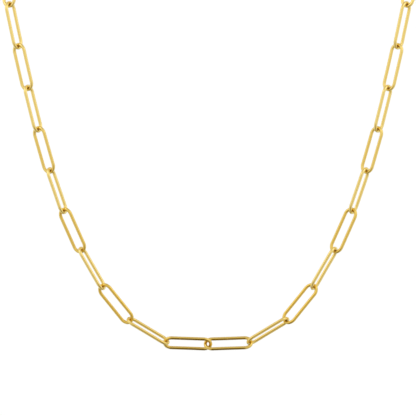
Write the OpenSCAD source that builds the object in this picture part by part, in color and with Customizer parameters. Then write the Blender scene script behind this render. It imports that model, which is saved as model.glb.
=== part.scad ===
// A gold paperclip chain necklace, worn: 36 soldered wire links, a jump ring at
// each end of the chain, and a plain closed clasp between the rings.
// The front hangs in one plane that leans back, as it does on a chest. The rest
// rises from there and runs round the neck to the clasp at the nape.
// Millimetres. +X is the viewer's right, +Y the wearer's back and +Z up. The
// origin is the middle of the clasp and its rings, where the necklace hangs.

/* [Links] */
// Diameter of the round wire
wire_d = 0.94; // [0.86:0.02:0.98]
// Width of a link, over its two legs
link_w = 4.3; // [4.1:0.05:4.5]
// Length of a link, over its two ends
link_l = 14.2; // [14:0.1:14.4]
// Radius of the shoulders of a link's end, as a share of half the leg spacing
shoulder = 1.4; // [1:0.05:1.6]
// Play between the wires of two links that hang in each other
play = 0.08; // [0.06:0.01:0.14]
// Play at the lowest joint, where two level links lie slack
low_play = 0.65; // [0.1:0.05:0.9]

/* [Hang] */
// Lean of the plane that the front hangs in, back from upright
front_lean = 20; // [0:1:30]
// Links on each side that run from the front round to the clasp
back_links = 8; // [7:1:9]

/* [Clasp] */
// Outside diameter of the jump ring that carries the clasp
clasp_ring_d = 5; // [4.6:0.1:5.4]
// Outside diameter of the jump ring that the clasp catches
catch_ring_d = 6; // [5.6:0.1:6.4]
// Diameter of the wire of both jump rings
ring_wire_d = 0.9; // [0.8:0.05:0.95]
// Width of the clasp's loop
clasp_w = 5.4; // [5:0.1:5.8]
// Length of the clasp's loop
clasp_l = 9.6; // [9:0.1:10.2]
// Diameter of the clasp's body
clasp_d = 1.5; // [1.3:0.05:1.6]
// Diameter of the clasp's gate, the thinner leg that opens on a real one
gate_d = 1.1; // [1:0.05:1.2]
// Outside diameter of the clasp's eye
eye_d = 2.9; // [2.8:0.1:3.2]
// Diameter of the wire of the clasp's eye
eye_wire_d = 0.75; // [0.65:0.05:0.8]

/* [Hidden] */
$fn = 32;
X = [1, 0, 0];

// The links of the front, on one side, from the lowest to the highest.
// LEAN is the angle of a link's length from the upright of the front's plane.
// ROLL turns it about its own length: at 0 it faces the viewer, and a positive
// roll brings the leg on the inside of the curve forward.
LEAN = 0;
ROLL = 1;
front = [
    [88, 33],
    [59, -66],
    [39, 24],
    [30, -66],
    [24, 29],
    [19, -61],
    [16, 33],
    [14, -55],
    [13, 33],
    [12, -52],
];
side_links = len(front) + back_links;

// A link's centre line is two straight legs, and at each end two shoulder arcs
// with a tip arc between them. Tip and shoulder meet at this angle from the
// link's length, the corner of a 3-4-5 triangle, so every radius and place is a
// short decimal and the pieces of wire meet exactly.
meet = 53.1301;
meet_cos = 0.6;
meet_sin = 0.8;
wire_r = wire_d / 2;
half_w = (link_w - wire_d) / 2;
half_l = (link_l - wire_d) / 2;
shoulder_r = shoulder * half_w;
tip_r = (half_w - shoulder_r * (1 - meet_sin)) / meet_sin;
tip_x = half_l - tip_r;
leg_x = tip_x - (shoulder_r - tip_r) * meet_cos;

// The clasp lies along X with its eye towards -X, and its loop is centred.
ring_r = ring_wire_d / 2;
clasp_ring_r = clasp_ring_d / 2 - ring_r;
catch_ring_r = catch_ring_d / 2 - ring_r;
clasp_r = clasp_d / 2;
loop_r = (clasp_w - clasp_d) / 2;
loop_x = clasp_l / 2 - clasp_r - loop_r;
eye_wire_r = eye_wire_d / 2;
eye_r = eye_d / 2 - eye_wire_r;
eye_x = -clasp_l / 2 + clasp_r / 2 - eye_r;
trigger_d = 1.2;
trigger_l = 1.5;
trigger_cap_d = 1.7;
trigger_cap_l = 0.4;

// Lengths from joint to joint of the three pieces at the nape, pulled straight.
clasp_ring_span = 2 * (clasp_ring_r - ring_r) - play;
catch_ring_span = 2 * (catch_ring_r - ring_r) - play;
clasp_near = eye_x - eye_r + eye_wire_r + play / 2;
clasp_far = loop_x + loop_r - clasp_r - play / 2;
clasp_span = clasp_far - clasp_near;
nape_span = clasp_ring_span + clasp_span + catch_ring_span;

function unit(a) = a / norm(a);
function square_to(a, u) = unit(a - (a * u) * u);
function mirrored(a) = [-a[0], a[1], a[2]];

// The plane of the front: its upright, and the way it faces.
front_up = [0, sin(front_lean), cos(front_lean)];
front_face = [0, -cos(front_lean), sin(front_lean)];
front_top = front_dir(front[len(front) - 1][LEAN]);
function front_dir(lean) = -sin(lean) * X + cos(lean) * front_up;

// Behind the front the chain rises less and less, and turns evenly inwards.
// At share t of the way round it points this much above level, and its heading
// has come this far from outwards (0) by way of backwards (90) to inwards (180).
function back_rise(t) = asin(front_top[2]) * pow(1 - t, 2);
function back_heading(t, swing) = 180 - swing * (1 - t);
function back_dir(t, swing) =
    let (rise = back_rise(t), heading = back_heading(t, swing))
    [-cos(heading) * cos(rise), sin(heading) * cos(rise), sin(rise)];

// Direction of link i on the -X side, counted from 0 at the lowest joint. After
// the last link comes the clasp, which lies straight across.
function link_dir(i, swing) =
    i < len(front) ? front_dir(front[i][LEAN])
    : i < side_links ? back_dir((i - len(front) + 0.5) / back_links, swing)
    : X;

// The rolls of the front end about 12 away from an even 45 to each side. Behind
// it they drift on, until the last link lies flat on the neck.
front_drift = 12;
function back_roll(k) =
    (k % 2 == 1 ? 45 : -45) - front_drift - (45 - front_drift) * k / back_links;
function link_roll(i) = i < len(front) ? front[i][ROLL] : back_roll(i - len(front) + 1);

// A piece hangs from one joint to the next: u is its length, v its width, and
// tip and reach are its end arc's radius and distance from its middle. At each
// joint the pull runs halfway between the two directions that meet, and the arc
// touches where that pull points within the piece's own plane.
function in_plane(pull, u, v) = unit((pull * u) * u + (pull * v) * v);
function middle_from(joint, pull, u, v, tip, reach, gap) =
    joint + tip * in_plane(pull, u, v) - (wire_r + gap / 2) * pull + reach * u;
function joint_after(middle, pull, u, v, tip, reach, gap) =
    middle + reach * u + tip * in_plane(pull, u, v) - (wire_r + gap / 2) * pull;

// The links of one side as rows [middle, length, width], and last the joint at
// which the chain ends. The way that the chain faces is carried on without
// twist. A hand of -1 rolls every link the other way.
function hang(swing, hand, i = 0, joint = [0, 0, 0], facing = front_face) =
    i == side_links ? [[joint, facing]]
    : let (
        u = link_dir(i, swing),
        pull_in = i == 0 ? -X : unit(link_dir(i - 1, swing) + u),
        pull_out = unit(u + link_dir(i + 1, swing)),
        face = square_to(facing, u),
        roll = hand * link_roll(i),
        v = cos(roll) * cross(u, face) + sin(roll) * face,
        gap_in = i == 0 ? low_play : play,
        middle = middle_from(joint, pull_in, u, v, tip_r, tip_x, gap_in),
        next = joint_after(middle, pull_out, u, v, tip_r, tip_x, play)
    )
    concat([[middle, u, v]], hang(swing, hand, i + 1, next, face));

// Distance left between the two ends of the chain, and by halving the swing at
// which the clasp and its rings just fill it.
function chain_end(swing, hand) = hang(swing, hand)[side_links][0];
function nape_gap(swing) = norm(mirrored(chain_end(swing, -1)) - chain_end(swing, 1));
function fitting_swing(low, high, steps) =
    let (middle = (low + high) / 2)
    steps == 0 ? middle
    : nape_gap(middle) > nape_span ? fitting_swing(low, middle, steps - 1)
    : fitting_swing(middle, high, steps - 1);
swing = fitting_swing(60, 170, 18);

left_side = hang(swing, 1);
right_side = [for (row = hang(swing, -1)) [for (a = row) mirrored(a)]];

// The clasp and its rings lie on a straight line between the chain's ends. The
// clasp is flat on the neck, and the rings stand square to it.
left_end = left_side[side_links][0];
right_end = right_side[side_links][0];
nape = (left_end + right_end) / 2;
nape_dir = unit(right_end - left_end);
nape_up = square_to(left_side[side_links][1], nape_dir);
nape_back = cross(nape_up, nape_dir);
clasp_ring_x = -nape_span / 2 + clasp_ring_span / 2;
catch_ring_x = nape_span / 2 - catch_ring_span / 2;
clasp_x = -nape_span / 2 + clasp_ring_span - clasp_near;

function side_name(side, i) = str("link_", side, i < 9 ? "_0" : "_", i + 1);

gold = [0.9, 0.74, 0.4];

// Turns a piece drawn with its length on X and its width on Y to u and v, and
// moves its middle to the place given.
module placed(middle, u, v) {
    w = cross(u, v);
    multmatrix([
        [u[0], v[0], w[0], middle[0]],
        [u[1], v[1], w[1], middle[1]],
        [u[2], v[2], w[2], middle[2]],
    ])
        children();
}

// Round wire bent to radius r about Z, from one angle on by another.
module bend(r, d, from, by) {
    rotate([0, 0, from])
        rotate_extrude(angle = by)
            translate([r, 0])
                circle(d = d);
}

// Round wire along X from one place to another, y off the middle.
module leg(from, to, y, d) {
    translate([from, y, 0])
        rotate([0, 90, 0])
            cylinder(d = d, h = to - from);
}

// Half a leg, a shoulder and half a tip: a link is four of these.
module quarter_link() {
    leg(0, leg_x, half_w, wire_d);
    translate([leg_x, half_w - shoulder_r, 0])
        bend(shoulder_r, wire_d, meet, 90 - meet);
    translate([tip_x, 0, 0])
        bend(tip_r, wire_d, 0, meet);
}

module chain_link(row) {
    color(gold)
        placed(row[0] - nape, row[1], row[2])
            for (end = [0, 1], side = [0, 1])
                mirror([end, 0, 0])
                    mirror([0, side, 0])
                        quarter_link();
}

module jump_ring(x, r) {
    color(gold)
        placed(x * nape_dir, nape_dir, nape_back)
            bend(r, ring_wire_d, 0, 360);
}

module clasp_ring() {
    jump_ring(clasp_ring_x, clasp_ring_r);
}

module catch_ring() {
    jump_ring(catch_ring_x, catch_ring_r);
}

// A closed loop of round bar with a thinner gate on top, the trigger that would
// open it, and the eye that hangs on the clasp's ring.
module clasp() {
    color(gold)
        placed(clasp_x * nape_dir, nape_dir, nape_up) {
            translate([loop_x, 0, 0])
                bend(loop_r, clasp_d, -90, 180);
            translate([-loop_x, 0, 0])
                bend(loop_r, clasp_d, 90, 180);
            leg(-loop_x, loop_x, -loop_r, clasp_d);
            leg(-loop_x, loop_x, loop_r, gate_d);
            translate([eye_x, 0, 0])
                bend(eye_r, eye_wire_d, 0, 360);
            trigger();
        }
}

module trigger() {
    translate([-loop_x + trigger_d, loop_r, 0])
        rotate([-90, 0, 0]) {
            cylinder(d = trigger_d, h = trigger_l);
            translate([0, 0, trigger_l - trigger_cap_l])
                cylinder(d = trigger_cap_d, h = trigger_cap_l);
        }
}

for (i = [0:side_links - 1]) {
    chain_link(left_side[i]);
    chain_link(right_side[i]);
}
clasp_ring();
clasp();
catch_ring();
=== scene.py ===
"""The looks of a gold paperclip chain necklace, built round its fixed frame.

Each link, jump ring and the clasp is swept again as fine round wire where the frame
has it, with its solder seam, wear and polish, and with painted shade on some links
and where links touch. Metres, +X the viewer's right, +Y the wearer's back and +Z up.
"""
import math
import random

import bpy
import numpy as np
from mathutils import Matrix, Vector


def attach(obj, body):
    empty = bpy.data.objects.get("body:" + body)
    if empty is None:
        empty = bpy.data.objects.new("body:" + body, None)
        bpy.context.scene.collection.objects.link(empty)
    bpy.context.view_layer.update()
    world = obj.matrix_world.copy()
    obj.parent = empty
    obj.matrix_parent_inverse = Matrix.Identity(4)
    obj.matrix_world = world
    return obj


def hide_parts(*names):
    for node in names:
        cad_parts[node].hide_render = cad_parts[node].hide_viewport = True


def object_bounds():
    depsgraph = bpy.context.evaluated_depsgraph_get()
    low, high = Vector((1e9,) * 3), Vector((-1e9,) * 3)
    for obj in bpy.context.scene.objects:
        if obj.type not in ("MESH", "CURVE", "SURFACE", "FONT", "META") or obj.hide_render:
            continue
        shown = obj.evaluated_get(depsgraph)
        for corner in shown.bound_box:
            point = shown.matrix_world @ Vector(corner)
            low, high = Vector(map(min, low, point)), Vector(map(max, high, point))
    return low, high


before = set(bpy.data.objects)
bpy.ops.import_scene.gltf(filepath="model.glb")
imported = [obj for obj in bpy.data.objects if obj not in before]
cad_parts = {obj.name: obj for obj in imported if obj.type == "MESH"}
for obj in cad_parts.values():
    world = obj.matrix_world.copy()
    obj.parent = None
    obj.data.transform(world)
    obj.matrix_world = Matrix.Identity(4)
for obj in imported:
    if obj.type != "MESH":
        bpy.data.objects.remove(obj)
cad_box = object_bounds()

MM = 0.001
QUARTER = math.pi / 2
FULL = 2 * math.pi

# Facets round a wire, and their angles from its outward side.
SIDES = 24
ANGLES = np.arange(SIDES) * FULL / SIDES

# Rings along half a leg of a link, a shoulder, half a tip and half the solder seam.
LEG_RINGS = 14
SHOULDER_RINGS = 7
TIP_RINGS = 12
SEAM_RINGS = 6
# Shape of a link's end, the same as the frame's: the shoulder's radius as a share
# of half the leg spacing, and the 3-4-5 corner at which shoulder and tip meet.
SHOULDER = 1.4
MEET_COS = 0.6
MEET_SIN = 0.8
MEET = math.acos(MEET_COS)
# Solder seam: how far from the leg's middle it may lie, half its length, how far it
# stands proud, and the depth of the fine line at its middle.
SEAM_REACH = 2.5 * MM
SEAM_HALF = 0.28 * MM
SEAM_PROUD = 0.012 * MM
SEAM_LINE = 0.008 * MM
# Half the line's width, and where the leg's even rings begin, in half seams.
SEAM_LINE_HALF = 0.1
SEAM_END = 1.3
# How far legs bow, inwards and out of the link's plane, and how unround the wire is.
BOW = 0.02 * MM
UNROUND = 0.004
# How much each end of a link is drawn in, so that the links hang in touch.
DRAWN_IN = 0.03 * MM
# Links with painted shade, a deeper and darker gold than the rest, by their number from the
# lowest, and how much.
SHADED_LINKS = {1: 0.7, 2: 0.3, 3: 1.0, 5: 0.8, 7: 0.5, 9: 0.2}

# Jump rings: rings along the wire, where the cut between its ends lies, counted from
# the way along the nape, the cut's depth and half its width, and how far the two ends
# miss each other.
RING_RINGS = 96
CUT_ANGLE = math.radians(70)
CUT_DEPTH = 0.05 * MM
CUT_HALF = 0.03 * MM
CUT_MISS = 0.02 * MM
# Rings on each side of the cut's middle, as shares of half its width.
CUT_STEPS = np.array([0.1, 0.5])

# Clasp, with its eye towards -X and the middle of its loop at zero, as the frame has
# it: the bar's radius in the body and in the gate, the loop, and the eye.
CLASP_L = 9.6 * MM
CLASP_W = 5.4 * MM
BODY_R = 0.75 * MM
GATE_R = 0.55 * MM
LOOP_R = CLASP_W / 2 - BODY_R
LOOP_X = CLASP_L / 2 - BODY_R - LOOP_R
EYE_R = 1.075 * MM
EYE_WIRE_R = 0.375 * MM
EYE_X = -5.5 * MM
# Groove at each end of the gate, and the rounding of the body's edge beside it.
GROOVE = 0.06 * MM
ROUNDING = 0.14 * MM
# Even rings along the lower bar, a bend, the eye and the gate, with the angle from
# the gate at which those of a bend begin.
BAR_RINGS = 16
BEND_RINGS = 30
EYE_RINGS = 48
GATE_MIDDLE = np.linspace(-1, 1, 9) * MM
BEND_START = 0.1
# Rings that crowd where gate and body meet: distances into the gate and into the bend.
GATE_STEPS = np.array([0.001, 0.03, 0.06, 0.1, 0.2, 0.4]) * MM
BEND_STEPS = np.array([0.001, 0.005, 0.02, 0.045, 0.08, 0.14]) * MM
# Outlines of the trigger and of the rivet that the gate turns on: radius and height
# in millimetres. The rivet's angle is counted from +X, round the bend by the eye.
TRIGGER_X = -0.9 * MM
TRIGGER = [
    (0.6, 1.9), (0.58, 2.5), (0.56, 2.75), (0.6, 3.0), (0.75, 3.05), (0.83, 3.1),
    (0.85, 3.18), (0.85, 3.32), (0.82, 3.4), (0.74, 3.44), (0.6, 3.45),
]
RIVET = [
    (0.2, -0.745), (0.3, -0.735), (0.37, -0.7), (0.39, -0.63), (0.39, 0.63),
    (0.37, 0.7), (0.3, 0.735), (0.2, 0.745),
]
RIVET_ANGLE = math.radians(102)

# Wear and painted shade: how far rubbed, rougher metal and painted shade reach from the
# tip of a link and of the clasp, and round a ring or the eye as a share of the radius.
LINK_RUB_AND_SHADE = 1.0 * MM
CLASP_RUB_AND_SHADE = 0.6 * MM
RING_RUB_AND_SHADE = 0.4
# Wear and painted shade at the wire's side, and how much they grow from there to the inside of a
# bend.
SIDE_RUB_AND_SHADE = 0.2
INSIDE_RUB_AND_SHADE = 1.2

# Gold: the two tints of its clouds, the painted shade of the darkest links, and the dark brown
# painted shade where links touch.
GOLD_REDDER = (0.955, 0.72, 0.235, 1)
GOLD_PALER = (0.955, 0.75, 0.27, 1)
GOLD_SHADED_LINK = (0.86, 0.595, 0.125, 1)
GOLD_PAINTED_SHADE = (0.66, 0.44, 0.06, 1)
# Roughness from cloud to cloud, and how much rougher rubbed metal is.
ROUGH_LEAST = 0.06
ROUGH_MOST = 0.12
ROUGH_RUBBED = 0.08
# Size of the clouds and of the polishing lines, as noise scales, how much the lines
# are drawn out along the wire, and their depth.
CLOUD_SCALE = 600.0
LINE_SCALE = 12000.0
LINE_STRETCH = 20.0
LINE_DEPTH = 0.003 * MM
LINE_STRENGTH = 0.3

# Camera, square to the plane of the front, which leans back as on a chest: the width
# that the photo shows of that plane, and its row with the middles of the lowest links.
FRONT_LEAN = math.radians(20)
PHOTO_PIXELS = 416
PHOTO_WIDTH = 119.1 * MM
LOWEST_LINKS_ROW = 343.35
CAMERA_DISTANCE = 3.0
SENSOR = 36.0

# Floor: how far below the necklace it lies, and half its side.
FLOOR_DROP = 0.15
FLOOR_HALF = 4.0
# Even light from all round, and the strength and width of the light from above.
WORLD_LIGHT = 0.95
SKY_LIGHT = 0.55
SKY_WIDTH = math.radians(60)

# A light tent round the necklace, which only the gold sees: its middle and radius,
# the rows and columns of its mesh, the elevation of the top row, and its light.
TENT_MIDDLE = np.array([0.0, -0.06, -0.075])
TENT_RADIUS = 0.3
TENT_ROWS = 91
TENT_COLUMNS = 180
TENT_TOP = 89.9
TENT_WALL = 0.985
# Shades on its wall: the elevation of the middle, which lies behind when it is over
# 90 degrees, the spread in degrees, and the depth in red, green and blue.
TENT_SHADES = [
    (-25, 47, (0.35, 0.47, 0.63)),
    (90, 40, (0.37, 0.38, 0.34)),
    (-90, 80, (0.30, 0.22, 0.13)),
    (172, 30, (0.35, 0.50, 0.75)),
]
# The tent's wall is brighter in two soft spots, one at each side: bearing from the
# front, elevation and spread in degrees, and how much light they add.
LAMP_BEARING = 65
LAMP_ELEVATION = 45
LAMP_SPREAD = 15
LAMP_LIGHT = 0.9
# The stand under the lens shows as a dark brown strip, which runs on below the
# necklace: half its width, its end in front and its end behind, with the softness of
# each end, in degrees, and its depth in red, green and blue.
STAND_HALF = 8
STAND_TOP = 20
STAND_TOP_SOFT = 3
STAND_BACK = 48
STAND_BACK_SOFT = 8
STAND_DEPTH = (0.72, 0.77, 0.96)


def unit(a):
    return a / np.linalg.norm(a)


def upwards(a):
    """The direction, turned over if it points down."""
    return a if a[2] >= 0 else -a


# Places and sizes from the frame

def corners(node):
    """Corner places of every triangle of a frame node, as (triangle, corner, xyz)."""
    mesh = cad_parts[node].data
    mesh.calc_loop_triangles()
    points = np.zeros(len(mesh.vertices) * 3)
    mesh.vertices.foreach_get("co", points)
    index = np.zeros(len(mesh.loop_triangles) * 3, int)
    mesh.loop_triangles.foreach_get("vertices", index)
    return points.reshape(-1, 3)[index].reshape(-1, 3, 3)


class Solid:
    """Middle, axes from longest to shortest, and size along each axis of a closed node."""

    def __init__(self, node):
        # Each triangle makes a tetrahedron with the origin. Its corners and their sum
        # give its middle and its moments.
        triangles = corners(node)
        volume = np.linalg.det(triangles)
        self.middle = (volume[:, None] * triangles.sum(1)).sum(0) / volume.sum() / 4
        local = triangles - self.middle
        volume = np.linalg.det(local)
        rays = np.concatenate([local, local.sum(1, keepdims=True)], 1)
        moments = np.einsum("t,tci,tcj->ij", volume, rays, rays)
        axes = np.linalg.eigh(moments)[1].T[::-1]
        self.axes = [upwards(axis) for axis in axes]
        spread = local.reshape(-1, 3) @ np.array(self.axes).T
        self.size = [round(float(s), 5) for s in spread.max(0) - spread.min(0)]


def flat_axes(solid, along):
    """Axes of a flat piece: the way along it, and the way across it upwards."""
    through = solid.axes[2]
    u = unit(along - (along @ through) * through)
    return u, upwards(np.cross(through, u))


def placement(middle, u, v):
    """Matrix that takes a piece drawn with its length on X and its width on Y to its place."""
    w = np.cross(u, v)
    matrix = Matrix.Identity(4)
    for row in range(3):
        matrix[row] = (u[row], v[row], w[row], middle[row])
    return matrix


# Meshes. A shell is a closed surface: its points, its faces, where each point lay on
# the straight wire, and how much it is rubbed and painted in shade.

def in_scene(name, data):
    """A new object in the scene."""
    thing = bpy.data.objects.new(name, data)
    bpy.context.scene.collection.objects.link(thing)
    return thing


def keep(mesh, name, kind, field, values):
    """Values at the points of a mesh, for its material to read."""
    mesh.attributes.new(name, kind, "POINT").data.foreach_set(field, values.ravel())


def finished(name, shell, matrix, node, material, deep=0.0):
    """A smooth piece at its place that stands for a node of the frame. Its last argument
    is how much painted shade darkens its gold, up to 1."""
    points, faces, drawn, wear_and_shade = shell
    mesh = bpy.data.meshes.new(name)
    mesh.from_pydata(points.tolist(), [], faces)
    mesh.shade_smooth()
    keep(mesh, "drawn", "FLOAT_VECTOR", "vector", drawn)
    keep(mesh, "wear_and_shade", "FLOAT", "value", wear_and_shade)
    keep(mesh, "deep", "FLOAT", "value", np.full(len(points), deep))
    mesh.materials.append(material)
    mesh.transform(matrix)
    piece = in_scene(name, mesh)
    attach(piece, "root")
    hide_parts(node)


def closed_faces(rings, sides):
    """Quads of a closed tube whose points run round each ring in turn."""
    faces = []
    for ring in range(rings):
        after = (ring + 1) % rings
        for side in range(sides):
            beside = (side + 1) % sides
            faces.append((
                ring * sides + side,
                after * sides + side,
                after * sides + beside,
                ring * sides + beside,
            ))
    return faces


def wire_shell(path, outward, radius, near, start=0.0):
    """Shell of a round wire along a flat closed path. radius is one number, or one for
    each ring, or one for each ring and side. near is how near a neighbour each ring is,
    up to 1 where it touches, and start is where the path starts on the straight wire."""
    radius = np.asarray(radius)
    if radius.ndim == 1:
        radius = radius[:, None]
    radius = np.broadcast_to(radius, (len(path), SIDES))
    across = np.cos(ANGLES)[None, :, None] * outward[:, None, :]
    up = np.sin(ANGLES)[None, :, None] * np.array([0.0, 0.0, 1.0])
    points = path[:, None, :] + radius[:, :, None] * (across + up)
    along = np.concatenate([[0], np.cumsum(np.linalg.norm(np.diff(path, axis=0), axis=1))])
    drawn = np.stack([
        radius * np.cos(ANGLES),
        radius * np.sin(ANGLES),
        np.broadcast_to(along[:, None] + start, radius.shape),
    ], -1)
    # Rubbed, rougher metal with painted shade on the inside of each bend where a neighbour
    # touches.
    inside = np.clip(SIDE_RUB_AND_SHADE - INSIDE_RUB_AND_SHADE * np.cos(ANGLES), 0, 1)[None, :]
    wear_and_shade = inside * np.clip(near, 0, 1)[:, None]
    faces = closed_faces(len(path), SIDES)
    return points.reshape(-1, 3), faces, drawn.reshape(-1, 3), wear_and_shade.ravel()


def turned_shell(profile, place):
    """Shell of a turned shape with flat ends. profile has rows of radius and height in
    millimetres, and place puts two distances across the axis and a height into space."""
    points = np.array([
        place(radius * math.cos(a), radius * math.sin(a), height)
        for radius, height in np.array(profile) * MM
        for a in ANGLES
    ])
    last = (len(profile) - 1) * SIDES
    faces = [face[::-1] for face in closed_faces(len(profile), SIDES)[:last]]
    faces.append(tuple(range(SIDES))[::-1])
    faces.append(tuple(range(last, last + SIDES)))
    return points, faces, points, np.zeros(len(points))


def joined(shells):
    """One shell from several."""
    points, faces, drawn, wear_and_shade = [], [], [], []
    for shell_points, shell_faces, shell_drawn, shell_wear_and_shade in shells:
        start = sum(len(places) for places in points)
        points.append(shell_points)
        faces += [tuple(start + corner for corner in face) for face in shell_faces]
        drawn.append(shell_drawn)
        wear_and_shade.append(shell_wear_and_shade)
    return np.concatenate(points), faces, np.concatenate(drawn), np.concatenate(wear_and_shade)


# Paths: places along a wire's middle, and the outward direction at each

def arc_at(centre, r, angle):
    """An arc's places at given angles."""
    outward = np.stack([np.cos(angle), np.sin(angle), np.zeros(len(angle))], -1)
    return np.array([*centre, 0.0]) + r * outward, outward


def arc(centre, r, start, end, count):
    """An arc's places at even angles, without its last point."""
    return arc_at(centre, r, np.linspace(start, end, count, endpoint=False))


def line(start, end, outward, steps):
    """A straight stretch's places at shares of its length, all facing one way."""
    start = np.array([*start, 0.0])
    end = np.array([*end, 0.0])
    steps = np.asarray(steps)[:, None]
    return start + (end - start) * steps, np.tile([*outward, 0.0], (len(steps), 1))


def chained(stretches):
    """One path from several stretches."""
    return [np.concatenate(part) for part in zip(*stretches)]


def link_path(half_l, half_w, seam):
    """Path of a link, and the x at which its legs end. It runs from the -X end of the -Y
    leg round to it again, with rings crowded at the solder seam, at x = seam on the +Y
    leg."""
    shoulder_r = SHOULDER * half_w
    tip_r = (half_w - shoulder_r * (1 - MEET_SIN)) / MEET_SIN
    tip_x = half_l - tip_r
    leg_x = tip_x - (shoulder_r - tip_r) * MEET_COS
    low_y = shoulder_r - half_w
    high_y = half_w - shoulder_r
    plain = np.linspace(0, 1, 2 * LEG_RINGS, endpoint=False)
    near = seam + SEAM_HALF * np.linspace(-1, 1, 2 * SEAM_RINGS + 1)
    rest = leg_x * (1 - 2 * plain)
    rest = rest[np.abs(rest - seam) > SEAM_END * SEAM_HALF]
    seamed = np.sort(np.concatenate([rest, near]))[::-1]
    path, outward = chained([
        line((-leg_x, -half_w), (leg_x, -half_w), (0.0, -1.0), plain),
        arc((leg_x, low_y), shoulder_r, -QUARTER, -MEET, SHOULDER_RINGS),
        arc((tip_x, 0.0), tip_r, -MEET, MEET, 2 * TIP_RINGS),
        arc((leg_x, high_y), shoulder_r, MEET, QUARTER, SHOULDER_RINGS),
        line((leg_x, half_w), (-leg_x, half_w), (0.0, 1.0), (leg_x - seamed) / leg_x / 2),
        arc((-leg_x, high_y), shoulder_r, QUARTER, math.pi - MEET, SHOULDER_RINGS),
        arc((-tip_x, 0.0), tip_r, math.pi - MEET, math.pi + MEET, 2 * TIP_RINGS),
        arc((-leg_x, low_y), shoulder_r, math.pi + MEET, 3 * QUARTER, SHOULDER_RINGS),
    ])
    return path, outward, leg_x


# Links, jump rings and clasp

def make_link(node, material):
    """A link of round wire with its solder seam."""
    solid = Solid(node)
    length, width, wire = solid.size
    half_l = (length - wire) / 2
    half_w = (width - wire) / 2
    chance = random.Random(node)
    seam = chance.uniform(-SEAM_REACH, SEAM_REACH)
    path, outward, leg_x = link_path(half_l - DRAWN_IN, half_w, seam)
    # Legs bow a little, and most at their middles.
    bow = np.clip(1 - (path[:, 0] / leg_x) ** 2, 0, 1)
    path[:, 1] += bow * np.where(path[:, 1] > 0, chance.uniform(-BOW, 0), chance.uniform(0, BOW))
    path[:, 2] += bow * chance.uniform(-BOW, BOW)
    # The seam stands proud, with a fine line at its middle.
    off = np.abs(path[:, 0] - seam) / SEAM_HALF
    on_seam = (path[:, 1] > 0) & (off <= 1)
    swell = np.where(on_seam, np.cos(off * QUARTER) ** 2, 0)
    crease = np.where(on_seam & (off < SEAM_LINE_HALF), 1, 0)
    radius = wire / 2 - SEAM_LINE * crease + SEAM_PROUD * swell
    squeeze = np.cos(2 * (ANGLES[None, :] - chance.uniform(0, math.pi)))
    radius = radius[:, None] * (1 - UNROUND * (1 + squeeze) / 2)
    # Wear and painted shade reach in from each tip, where the links touch.
    near = 1 - (half_l - np.abs(path[:, 0])) / LINK_RUB_AND_SHADE
    # Each link comes from another stretch of wire, so its clouds are its own.
    shell = wire_shell(path, outward, radius, near, chance.uniform(0, 1))
    matrix = placement(solid.middle, *solid.axes[:2])
    # Some links get painted shade: a deeper, darker gold.
    deep = SHADED_LINKS.get(int(node[-2:]), 0.0)
    finished(node + "_wire", shell, matrix, node, material, deep)


def make_jump_ring(node, along, material):
    """A ring of round wire, cut where its two ends meet."""
    solid = Solid(node)
    outside, _, wire = solid.size
    r = (outside - wire) / 2
    half = CUT_HALF / r
    turn = np.concatenate([
        np.linspace(half, FULL - half, RING_RINGS),
        FULL - half * CUT_STEPS[::-1],
        [FULL],
        FULL + half * CUT_STEPS,
    ])
    bend = CUT_ANGLE + turn
    path, outward = arc_at((0.0, 0.0), r, bend)
    # One end lies a little in front of the other.
    path[:, 2] += CUT_MISS * np.clip(1 - turn, 0, 1) ** 2
    off = np.minimum(turn, np.abs(turn - FULL)) / half
    radius = wire / 2 - CUT_DEPTH * np.clip(1 - off, 0, 1)
    near = 1 - np.abs(np.sin(bend)) / RING_RUB_AND_SHADE
    shell = wire_shell(path, outward, radius, near)
    matrix = placement(solid.middle, *flat_axes(solid, along))
    finished(node + "_wire", shell, matrix, node, material)


def gate_radius(into_body):
    """Radius of the clasp's bar at a distance into the body from where the gate meets it."""
    edge = np.clip(1 - into_body / ROUNDING, 0, 1)
    body = BODY_R - ROUNDING * (1 - np.sqrt(1 - edge ** 2))
    gate = GATE_R - GROOVE * np.exp(-(into_body / GROOVE) ** 2)
    return np.where(into_body > 0, body, gate)


def clasp_loop():
    """The clasp's closed loop of round bar, with a thinner gate along its top."""
    plain = np.linspace(0, 1, BAR_RINGS, endpoint=False)
    gate = np.concatenate([GATE_STEPS - LOOP_X, LOOP_X - GATE_STEPS, GATE_MIDDLE])
    gate = np.sort(gate)[::-1]
    near_gate = BEND_STEPS / LOOP_R
    path, outward = chained([
        line((-LOOP_X, -LOOP_R), (LOOP_X, -LOOP_R), (0.0, -1.0), plain),
        arc((LOOP_X, 0.0), LOOP_R, -QUARTER, QUARTER - BEND_START, BEND_RINGS),
        arc_at((LOOP_X, 0.0), LOOP_R, QUARTER - near_gate[::-1]),
        line((LOOP_X, LOOP_R), (-LOOP_X, LOOP_R), (0.0, 1.0), (LOOP_X - gate) / LOOP_X / 2),
        arc_at((-LOOP_X, 0.0), LOOP_R, QUARTER + near_gate),
        arc((-LOOP_X, 0.0), LOOP_R, QUARTER + BEND_START, 3 * QUARTER, BEND_RINGS),
    ])
    # The lower half of the loop is all body, so any long distance does for it.
    past = np.abs(path[:, 0]) - LOOP_X
    round_bend = LOOP_R * np.arcsin(np.clip(past / LOOP_R, 0, 1))
    into_body = np.where(path[:, 1] > 0, np.where(past > 0, round_bend, past), CLASP_W)
    near = 1 - (LOOP_X + LOOP_R - path[:, 0]) / CLASP_RUB_AND_SHADE
    return wire_shell(path, outward, gate_radius(into_body), near)


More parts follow.
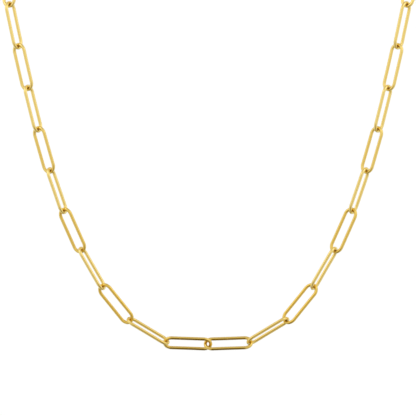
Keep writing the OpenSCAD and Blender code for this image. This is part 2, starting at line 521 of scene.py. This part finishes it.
def clasp_eye():
    """The ring of wire at the clasp's end, through which its jump ring goes."""
    path, outward = arc((EYE_X, 0.0), EYE_R, 0, FULL, EYE_RINGS)
    return wire_shell(path, outward, EYE_WIRE_R, 1 - (1 + outward[:, 0]) / RING_RUB_AND_SHADE)


def clasp_trigger():
    """The button on the gate."""
    return turned_shell(TRIGGER, lambda a, b, height: (TRIGGER_X + a, height, -b))


def clasp_rivet():
    """The pin through the bend by the eye."""
    x = -LOOP_X + LOOP_R * math.cos(RIVET_ANGLE)
    y = LOOP_R * math.sin(RIVET_ANGLE)
    return turned_shell(RIVET, lambda a, b, height: (x + a, y + b, height))


def make_clasp(node, along, material):
    """The clasp, placed by the end and the bottom of the frame's."""
    solid = Solid(node)
    u, v = flat_axes(solid, along)
    w = np.cross(u, v)
    places = corners(node).reshape(-1, 3)
    end = (places @ u).max()
    bottom = (places @ v).min()
    middle = (end - CLASP_L / 2) * u + (bottom + CLASP_W / 2) * v + (solid.middle @ w) * w
    shell = joined([clasp_loop(), clasp_eye(), clasp_trigger(), clasp_rivet()])
    finished(node + "_body", shell, placement(middle, u, v), node, material)


# Materials

def new_material(name):
    """A material, and its node tree without any nodes."""
    material = bpy.data.materials.new(name)
    material.use_nodes = True
    material.node_tree.nodes.clear()
    return material, material.node_tree


def add(tree, kind, inputs=None, **settings):
    """A shader node. inputs are values, or sockets of other nodes to link."""
    node = tree.nodes.new(kind)
    for name, value in settings.items():
        setattr(node, name, value)
    for name, value in (inputs or {}).items():
        if isinstance(value, bpy.types.NodeSocket):
            tree.links.new(value, node.inputs[name])
        else:
            node.inputs[name].default_value = value
    return node


def mixed(tree, factor, a, b):
    """Colour a where factor is 0, and b where it is 1."""
    mix = add(tree, "ShaderNodeMix", {"Factor": factor, "A": a, "B": b}, data_type="RGBA")
    return mix.outputs["Result"]


def gold_material():
    """Polished gold, with painted shade that darkens some links and the insides of the bends
    where links touch, which are also rougher from rubbing.
    """
    material, tree = new_material("polished_gold")
    drawn = add(tree, "ShaderNodeAttribute", attribute_name="drawn").outputs["Vector"]
    wear_and_shade = add(tree, "ShaderNodeAttribute", attribute_name="wear_and_shade").outputs["Fac"]
    deep = add(tree, "ShaderNodeAttribute", attribute_name="deep").outputs["Fac"]
    # Clouds of slightly redder and paler metal, a few millimetres long.
    cloud = add(tree, "ShaderNodeTexNoise", {
        "Vector": drawn,
        "Scale": CLOUD_SCALE,
        "Detail": 3.0,
    }).outputs["Fac"]
    tint = mixed(tree, cloud, GOLD_REDDER, GOLD_PALER)
    # Painted shade: some links are painted a deeper, darker gold.
    tint = mixed(tree, deep, tint, GOLD_SHADED_LINK)
    # Painted shade: the insides of the bends, where the links touch, are painted dark brown.
    tint = mixed(tree, wear_and_shade, tint, GOLD_PAINTED_SHADE)
    # Polishing lines along the wire.
    stretched = add(tree, "ShaderNodeMapping", {
        "Vector": drawn,
        "Scale": (1.0, 1.0, 1 / LINE_STRETCH),
    })
    lines = add(tree, "ShaderNodeTexNoise", {
        "Vector": stretched.outputs["Vector"],
        "Scale": LINE_SCALE,
        "Detail": 2.0,
    })
    haze = add(tree, "ShaderNodeMapRange", {
        "Value": cloud,
        "To Min": ROUGH_LEAST,
        "To Max": ROUGH_MOST,
    })
    rough = add(tree, "ShaderNodeMath", {
        0: wear_and_shade,
        1: ROUGH_RUBBED,
        2: haze.outputs["Result"],
    }, operation="MULTIPLY_ADD")
    bump = add(tree, "ShaderNodeBump", {
        "Height": lines.outputs["Fac"],
        "Strength": LINE_STRENGTH,
        "Distance": LINE_DEPTH,
    })
    shader = add(tree, "ShaderNodeBsdfPrincipled", {
        "Base Color": tint,
        "Metallic": 1.0,
        "Roughness": rough.outputs["Value"],
        "Normal": bump.outputs["Normal"],
    })
    add(tree, "ShaderNodeOutputMaterial", {"Surface": shader.outputs["BSDF"]})
    return material


def floor_material():
    """Matt white."""
    material, tree = new_material("pale_floor")
    shader = add(tree, "ShaderNodeBsdfPrincipled", {
        "Base Color": (0.9, 0.9, 0.9, 1),
        "Roughness": 0.9,
        "Specular IOR Level": 0.0,
    })
    add(tree, "ShaderNodeOutputMaterial", {"Surface": shader.outputs["BSDF"]})
    return material


def tent_material():
    """Light of the colour that each point of the tent has."""
    material, tree = new_material("tent_wall")
    glow = add(tree, "ShaderNodeAttribute", attribute_name="glow").outputs["Color"]
    shine = add(tree, "ShaderNodeEmission", {"Color": glow, "Strength": 1.0})
    add(tree, "ShaderNodeOutputMaterial", {"Surface": shine.outputs["Emission"]})
    return material


# Studio

def make_floor():
    """A plain pale floor, well below the necklace."""
    low = cad_box[0].z - FLOOR_DROP
    places = [
        (-FLOOR_HALF, -FLOOR_HALF, low),
        (FLOOR_HALF, -FLOOR_HALF, low),
        (FLOOR_HALF, FLOOR_HALF, low),
        (-FLOOR_HALF, FLOOR_HALF, low),
    ]
    mesh = bpy.data.meshes.new("floor")
    mesh.from_pydata(places, [], [(0, 1, 2, 3)])
    mesh.materials.append(floor_material())
    floor = in_scene("floor", mesh)
    floor.visible_glossy = False


def make_world():
    """Soft even light from all round."""
    world = bpy.data.worlds.new("studio")
    bpy.context.scene.world = world
    world.use_nodes = True
    back = world.node_tree.nodes["Background"]
    back.inputs["Color"].default_value = (WORLD_LIGHT, WORLD_LIGHT, WORLD_LIGHT, 1)


def make_sky_light():
    """A broad light from straight above, which brings the floor up to white."""
    light = bpy.data.lights.new("sky_light", "SUN")
    light.energy = SKY_LIGHT
    light.angle = SKY_WIDTH
    lamp = in_scene("sky_light", light)
    lamp.location = (0, 0, 1)
    lamp.visible_glossy = False


def towards(bearing, elevation):
    """Directions at bearings from the front, and at elevations, in radians."""
    return np.stack([
        np.cos(elevation) * np.sin(bearing),
        -np.cos(elevation) * np.cos(bearing),
        np.sin(elevation) * np.ones_like(bearing),
    ], -1)


def spot(way, bearing, elevation, spread):
    """How far each direction lies in a soft round spot, from 0 to 1. Angles in degrees."""
    middle = towards(math.radians(bearing), math.radians(elevation))
    off = np.degrees(np.arccos(np.clip(way @ middle, -1, 1)))
    return np.exp(-(off / spread) ** 2)


def soft_end(angle, end, softness):
    """1 well before the end and 0 well past it."""
    return 1 / (1 + np.exp((angle - end) / softness))


def tent_light(way):
    """Red, green and blue light of the tent's wall in directions from its middle."""
    light = np.full((len(way), 3), TENT_WALL)
    for elevation, spread, depth in TENT_SHADES:
        light -= np.outer(spot(way, 0, elevation, spread), depth)
    for bearing in (-LAMP_BEARING, LAMP_BEARING):
        light += LAMP_LIGHT * spot(way, bearing, LAMP_ELEVATION, LAMP_SPREAD)[:, None]
    aside, back, up = np.degrees(np.arcsin(np.clip(way, -1, 1))).T
    stand = np.exp(-(aside / STAND_HALF) ** 2)
    stand *= soft_end(up, STAND_TOP, STAND_TOP_SOFT)
    stand *= soft_end(back, STAND_BACK, STAND_BACK_SOFT)
    return light * (1 - np.outer(stand, STAND_DEPTH))


def make_tent():
    """A dome of light round the necklace, which shows only in reflections."""
    elevation = np.radians(np.linspace(-TENT_TOP, TENT_TOP, TENT_ROWS))[:, None]
    bearing = np.arange(TENT_COLUMNS)[None, :] * FULL / TENT_COLUMNS
    way = towards(bearing, elevation).reshape(-1, 3)
    faces = closed_faces(TENT_ROWS, TENT_COLUMNS)[:(TENT_ROWS - 1) * TENT_COLUMNS]
    mesh = bpy.data.meshes.new("tent")
    mesh.from_pydata((TENT_MIDDLE + TENT_RADIUS * way).tolist(), [], faces)
    light = np.hstack([tent_light(way), np.ones((len(way), 1))])
    keep(mesh, "glow", "FLOAT_COLOR", "color", light)
    mesh.materials.append(tent_material())
    tent = in_scene("tent", mesh)
    tent.visible_camera = False
    tent.visible_diffuse = False
    tent.visible_shadow = False


def make_camera():
    """A long lens that frames the front as the photo does."""
    face = Vector((0, -math.cos(FRONT_LEAN), math.sin(FRONT_LEAN)))
    up = Vector((0, math.sin(FRONT_LEAN), math.cos(FRONT_LEAN)))
    lowest = Vector((Solid("link_left_01").middle + Solid("link_right_01").middle) / 2)
    rise = (LOWEST_LINKS_ROW - PHOTO_PIXELS / 2) * PHOTO_WIDTH / PHOTO_PIXELS
    aim = lowest + rise * up
    data = bpy.data.cameras.new("camera")
    data.sensor_width = SENSOR
    data.lens = SENSOR * CAMERA_DISTANCE / PHOTO_WIDTH
    data.clip_start = 0.01
    data.clip_end = 100.0
    camera = in_scene("camera", data)
    camera.location = aim + CAMERA_DISTANCE * face
    camera.rotation_mode = "QUATERNION"
    camera.rotation_quaternion = (-face).to_track_quat("-Z", "Y")
    bpy.context.scene.camera = camera


gold = gold_material()
for node in sorted(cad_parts):
    if node.startswith("link_"):
        make_link(node, gold)
along_nape = Solid("catch_ring").middle - Solid("clasp_ring").middle
make_jump_ring("clasp_ring", along_nape, gold)
make_jump_ring("catch_ring", along_nape, gold)
make_clasp("clasp", along_nape, gold)

make_camera()
make_floor()
make_world()
make_sky_light()
make_tent()
bpy.context.scene.view_settings.view_transform = "Standard"
